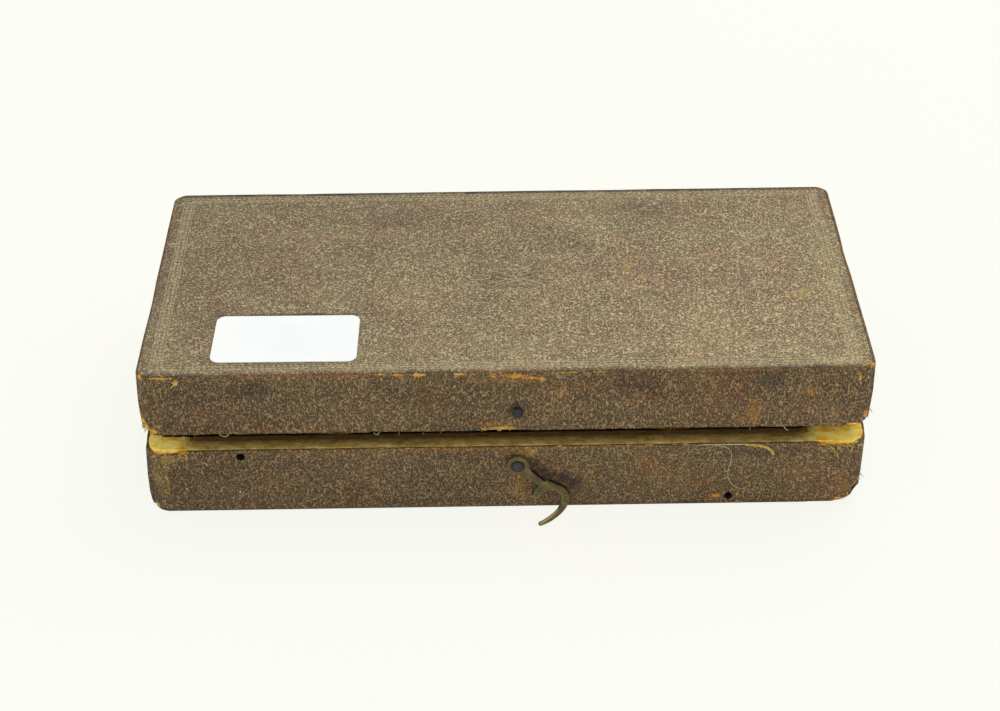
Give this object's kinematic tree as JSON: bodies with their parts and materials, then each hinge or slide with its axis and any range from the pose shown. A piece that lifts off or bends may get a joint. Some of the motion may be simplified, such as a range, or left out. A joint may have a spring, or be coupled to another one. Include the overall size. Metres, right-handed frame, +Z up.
{
  "type": "cased hanging scale",
  "caption": "Small hand-held hanging balance in a cloth-covered case, with a beam, shears, two pans and weights in a fitted tray; the hinged lid stands ajar over a brass hook",
  "frame": {"origin": "centre of the flat sheet on the underside that the case rests on", "axes": "+X to the right seen from the hook side, +Y towards the hinges, +Z up"},
  "size_m": [0.1906, 0.1027, 0.0461],
  "materials": {
    "board": "dull yellow fibrous strawboard",
    "covering": "grained bookcloth, worn matt",
    "bottom_sheet": "matt",
    "velvet": "short pile",
    "silk": "satin weave",
    "label_paper": "smooth white paper",
    "old_brass": "dark olive patina",
    "dark_iron": "dull, darkened",
    "steel": "blued by age",
    "brass": "mellow polish",
    "sheet_metal": "dull"
  },
  "bodies": {
    "base": {"base_carcass": "board", "base_covering": "covering", "base_bottom_sheet": "bottom_sheet", "tray_floor": "velvet", "tray_fret": "velvet", "hinge_base_leaf_left": "old_brass", "hinge_base_leaf_right": "old_brass", "hinge_pin_left": "dark_iron", "hinge_pin_right": "dark_iron", "hinge_nails_base": "dark_iron", "hook_pin": "dark_iron", "grain_weights": "sheet_metal", "flap_pin": "steel"},
    "lid": {"lid_carcass": "board", "lid_covering": "covering", "lid_lining": "silk", "label": "label_paper", "hinge_lid_leaf_left": "old_brass", "hinge_lid_leaf_right": "old_brass", "hinge_nails_lid": "dark_iron", "catch_stud": "dark_iron"},
    "hook": {"hook": "old_brass"},
    "flap": {"compartment_flap": "velvet", "flap_knob": "brass"},
    "balance": {"beam": "steel", "centre_knife": "steel", "pointer": "steel"},
    "shears": {"shears": "brass", "shears_bushes": "steel"},
    "ring": {"suspension_ring": "brass"},
    "end_hook_left": {"end_hook_left": "steel"},
    "end_hook_right": {"end_hook_right": "steel"},
    "pan_left": {"pan_left": "brass"},
    "pan_right": {"pan_right": "brass"},
    "weight_largest": {"weight_largest": "brass"},
    "weight_large": {"weight_large": "brass"},
    "weight_small": {"weight_small": "brass"},
    "weight_smallest": {"weight_smallest": "brass"}
  },
  "joints": [
    {"name": "lid_hinge", "type": "hinge", "parent": "base", "child": "lid", "pos_m": [0, 0.0475, 0.02208], "axis": [-1, 0, 0], "range_deg": [-3.06, 176.9]},
    {"name": "hook_swing", "type": "hinge", "parent": "base", "child": "hook", "pos_m": [0.00295, -0.0458, 0.01635], "axis": [0, -1, 0], "range_deg": [-198, 110]},
    {"name": "flap_hinge", "type": "hinge", "parent": "base", "child": "flap", "pos_m": [0.0884, -0.0214, 0.0186], "axis": [0, 1, 0], "range_deg": [0, 90]},
    {"name": "balance_lift", "type": "slide", "parent": "base", "child": "balance", "axis": [0, 0, 1], "range_m": [0, 0.012]},
    {"name": "shears_swing", "type": "hinge", "parent": "balance", "child": "shears", "pos_m": [0, 0.031, 0.013], "axis": [0, 0, 1], "range_deg": [-8, 8]},
    {"name": "ring_tilt", "type": "hinge", "parent": "shears", "child": "ring", "pos_m": [0, -0.0173, 0.013], "axis": [-1, 0, 0], "range_deg": [0, 95]},
    {"name": "end_hook_left_swing", "type": "hinge", "parent": "balance", "child": "end_hook_left", "pos_m": [-0.072, 0.031, 0.013], "axis": [0, 0, 1], "range_deg": [-30, 30]},
    {"name": "end_hook_right_swing", "type": "hinge", "parent": "balance", "child": "end_hook_right", "pos_m": [0.072, 0.031, 0.013], "axis": [0, 0, 1], "range_deg": [-30, 30]},
    {"name": "pan_left_lift", "type": "slide", "parent": "base", "child": "pan_left", "axis": [0, 0, 1], "range_m": [0, 0.012]},
    {"name": "pan_right_lift", "type": "slide", "parent": "base", "child": "pan_right", "axis": [0, 0, 1], "range_m": [0, 0.012]},
    {"name": "weight_largest_lift", "type": "slide", "parent": "base", "child": "weight_largest", "axis": [0, 0, 1], "range_m": [0, 0.012]},
    {"name": "weight_large_lift", "type": "slide", "parent": "base", "child": "weight_large", "axis": [0, 0, 1], "range_m": [0, 0.012]},
    {"name": "weight_small_lift", "type": "slide", "parent": "base", "child": "weight_small", "axis": [0, 0, 1], "range_m": [0, 0.012]},
    {"name": "weight_smallest_lift", "type": "slide", "parent": "base", "child": "weight_smallest", "axis": [0, 0, 1], "range_m": [0, 0.012]}
  ]
}
